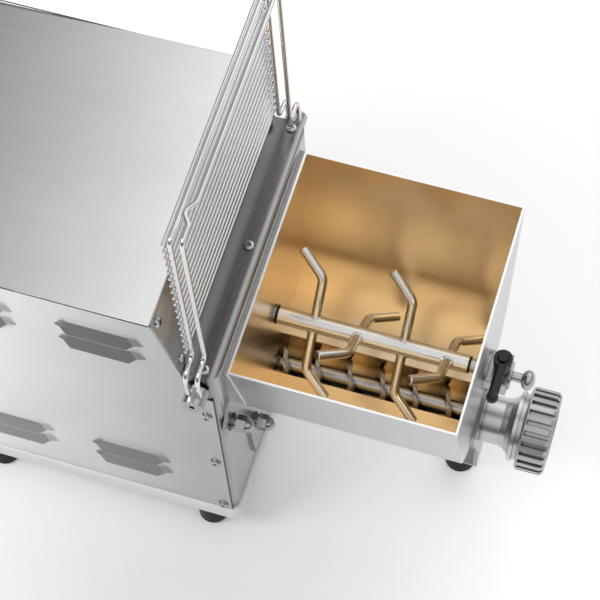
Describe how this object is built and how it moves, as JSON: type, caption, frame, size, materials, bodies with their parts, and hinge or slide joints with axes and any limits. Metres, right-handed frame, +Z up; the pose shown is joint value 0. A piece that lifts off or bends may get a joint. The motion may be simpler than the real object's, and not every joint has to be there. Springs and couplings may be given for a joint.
{
  "type": "electric pasta maker",
  "caption": "Countertop pasta maker: steel drive body with louvres, open mixing hopper with fingered shaft, raised wire lid, and extrusion throat with ring nut, die and clamp lever.",
  "frame": {"origin": "centre of the bounding box in X and Y, on the table under the rubber feet, with the lid open", "axes": "+X from the drive body towards the extrusion throat, +Y towards the side with the controls, +Z up"},
  "size_m": [0.53, 0.28, 0.5362],
  "materials": {
    "sheet": "brushed stainless sheet",
    "frame_sheet": "fine satin stainless plate",
    "hopper_sheet": "satin stainless sheet",
    "base_cast": "pale grey satin coating",
    "fastener": "bright stainless",
    "polished": "polished stainless",
    "throat_cast": "fine shot-blasted",
    "rubber": "matte black",
    "black_plastic": "fine-grained black",
    "die_bronze": "machined bronze",
    "gear_steel": "oiled",
    "drive_cast": "as cast",
    "copper": "varnished windings and laminations",
    "white_plastic": "plain",
    "plate_dark": "satin dark plate",
    "green_plastic": "glossy green",
    "red_plastic": "glossy red"
  },
  "bodies": {
    "machine": {"base_tray": "base_cast", "base_feet": "rubber", "front_frame": "frame_sheet", "side_panel_near": "sheet", "side_panel_far": "sheet", "rear_panel": "sheet", "top_panel": "sheet", "slope_panel": "sheet", "panel_screws": "fastener", "hopper_tub": "hopper_sheet", "auger_trough": "hopper_sheet", "back_plate": "frame_sheet", "hopper_studs": "fastener", "hopper_nuts": "fastener", "leg_plate": "frame_sheet", "hopper_foot": "rubber", "throat": "throat_cast", "pin_housing": "frame_sheet", "gear_case": "drive_cast", "gear_cover": "drive_cast", "shaft_bearings": "polished", "shaft_seals": "rubber", "reducer_case": "drive_cast", "motor_body": "drive_cast", "motor_stator": "copper", "fan_cover": "frame_sheet", "motor_cradle": "frame_sheet", "capacitor": "white_plastic", "contactor_box": "white_plastic", "control_plate": "plate_dark", "switch_blocks": "black_plastic", "cord_inlet": "black_plastic", "hinge_axles": "fastener", "hinge_washers": "rubber", "lid_sensor": "black_plastic"},
    "lid": {"hinge_blocks": "frame_sheet", "lid_frame_outer": "polished", "lid_frame_inner": "polished", "lid_wires": "polished"},
    "mixer": {"mixer_shaft": "polished", "mixer_drive": "frame_sheet", "mixer_gear": "gear_steel"},
    "auger": {"auger_core": "polished", "auger_flight": "polished", "auger_gear": "gear_steel"},
    "pinion_body": {"pinion": "gear_steel", "pinion_shaft": "frame_sheet"},
    "rotor": {"motor_rotor": "frame_sheet", "motor_fan": "black_plastic"},
    "die_carrier": {"die": "die_bronze"},
    "ring": {"ring_nut": "throat_cast"},
    "pin": {"shaft_pin": "polished"},
    "clamp": {"clamp_insert": "black_plastic"},
    "lever": {"clamp_lever": "black_plastic"},
    "selector": {"selector_knob": "black_plastic"},
    "start": {"start_button": "green_plastic"},
    "stop": {"stop_button": "red_plastic"}
  },
  "joints": [
    {"name": "lid_hinge", "type": "hinge", "parent": "machine", "child": "lid", "pos_m": [-0.007, 0, 0.308], "axis": [0, 1, 0], "range_deg": [0, 91.4]},
    {"name": "mixer_spin", "type": "hinge", "parent": "machine", "child": "mixer", "pos_m": [0.103, 0, 0.213], "axis": [1, 0, 0], "continuous": true},
    {"name": "auger_spin", "type": "hinge", "parent": "machine", "child": "auger", "pos_m": [0.103, 0, 0.113], "axis": [1, 0, 0], "continuous": true},
    {"name": "pinion_spin", "type": "hinge", "parent": "machine", "child": "pinion_body", "pos_m": [-0.057, 0, 0.283], "axis": [1, 0, 0], "continuous": true},
    {"name": "rotor_spin", "type": "hinge", "parent": "machine", "child": "rotor", "pos_m": [-0.157, 0, 0.283], "axis": [1, 0, 0], "continuous": true},
    {"name": "die_travel", "type": "slide", "parent": "machine", "child": "die_carrier", "axis": [1, 0, 0], "range_m": [0, 0.009]},
    {"name": "ring_turn", "type": "hinge", "parent": "die_carrier", "child": "ring", "pos_m": [0.253, 0, 0.113], "axis": [1, 0, 0], "range_deg": [0, 1080]},
    {"name": "pin_pull", "type": "slide", "parent": "machine", "child": "pin", "axis": [1, 0, 0], "range_m": [0, 0.03]},
    {"name": "lever_turn", "type": "hinge", "parent": "machine", "child": "clamp", "pos_m": [0.213, 0, 0.24], "axis": [0, 0, 1], "range_deg": [0, 90]},
    {"name": "lever_lift", "type": "slide", "parent": "clamp", "child": "lever", "axis": [0, 0, 1], "range_m": [0, 0.004], "stiffness_N_per_m": 400, "springref_m": -0.002},
    {"name": "selector_turn", "type": "hinge", "parent": "machine", "child": "selector", "pos_m": [-0.127, 0.13, 0.216], "axis": [0, -1, 0], "range_deg": [0, 90]},
    {"name": "start_press", "type": "slide", "parent": "machine", "child": "start", "axis": [0, -1, 0], "range_m": [0, 0.003], "stiffness_N_per_m": 400, "springref_m": -0.003},
    {"name": "stop_press", "type": "slide", "parent": "machine", "child": "stop", "axis": [0, -1, 0], "range_m": [0, 0.003], "stiffness_N_per_m": 400, "springref_m": -0.003}
  ],
  "couplings": [
    {"joint": "auger_spin", "follows": "mixer_spin", "ratio": -1},
    {"joint": "pinion_spin", "follows": "mixer_spin", "ratio": -2.5},
    {"joint": "rotor_spin", "follows": "mixer_spin", "ratio": -20},
    {"joint": "die_travel", "follows": "ring_turn", "m_per_rad": 0.00047746}
  ]
}
